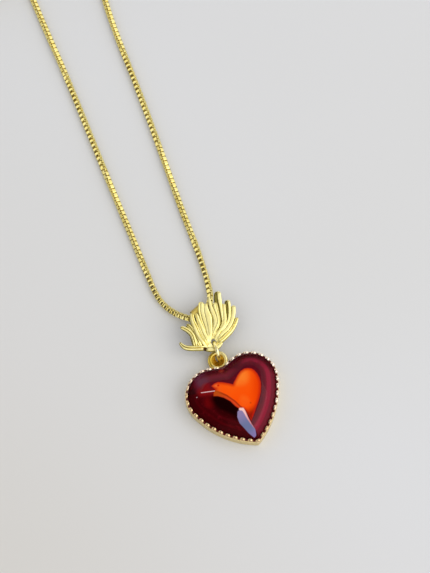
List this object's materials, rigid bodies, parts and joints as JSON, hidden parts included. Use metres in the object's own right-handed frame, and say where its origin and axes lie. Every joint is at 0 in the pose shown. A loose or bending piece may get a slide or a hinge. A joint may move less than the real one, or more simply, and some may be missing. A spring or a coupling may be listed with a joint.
{
  "type": "heart pendant necklace",
  "caption": "Heart pendant with a glossy red stone in a scalloped gold setting, hung by a jump ring from a flame-shaped bail on a fine box chain with a lobster clasp.",
  "frame": {"origin": "middle of the heart's widest line, on the setting's flat back", "axes": "+Y along the heart's axis from its tip to the flame, +Z out of the heart's face, +X to the right when the face is seen with the flame at the top"},
  "size_m": [0.0289, 0.118, 0.0048],
  "materials": {
    "setting_gold": "polished, slightly rosy gold plate",
    "stone_glass": "polished red glass over an orange inner heart",
    "flame_gold": "pale yellow gold plate on a cast relief",
    "ring_gold": "polished yellow gold plate",
    "chain_gold": "bright yellow gold plate",
    "clasp_gold": "polished yellow gold plate"
  },
  "bodies": {
    "flame": {"flame": "flame_gold", "bail": "flame_gold", "chain_run": "chain_gold", "chain_coil": "chain_gold", "near_end_ring": "ring_gold", "far_end_ring": "ring_gold", "clasp_link": "ring_gold", "clasp_body": "clasp_gold", "clasp_pin": "clasp_gold", "clasp_spring": "clasp_gold"},
    "jump_ring": {"jump_ring": "ring_gold"},
    "heart": {"heart_setting": "setting_gold", "heart_stone": "stone_glass"},
    "clasp_lever": {"clasp_lever": "clasp_gold"}
  },
  "joints": [
    {"name": "flame_link", "type": "hinge", "parent": "flame", "child": "jump_ring", "pos_m": [0.0006, 0.00806, 0.00247], "axis": [0.9925, -0.1219, 0], "range_deg": [-75, 25]},
    {"name": "heart_swing", "type": "hinge", "parent": "jump_ring", "child": "heart", "pos_m": [0, 0.00751, 0.0012], "axis": [1, 0, 0], "range_deg": [-30, 90]},
    {"name": "clasp_gate", "type": "hinge", "parent": "flame", "child": "clasp_lever", "pos_m": [0.0131, 0.09666, 0.0011], "axis": [0, 0, 1], "range_deg": [0, 20], "stiffness_Nm_per_rad": 0.0002, "springref_deg": -2.86, "deforming": ["clasp_spring"]}
  ]
}
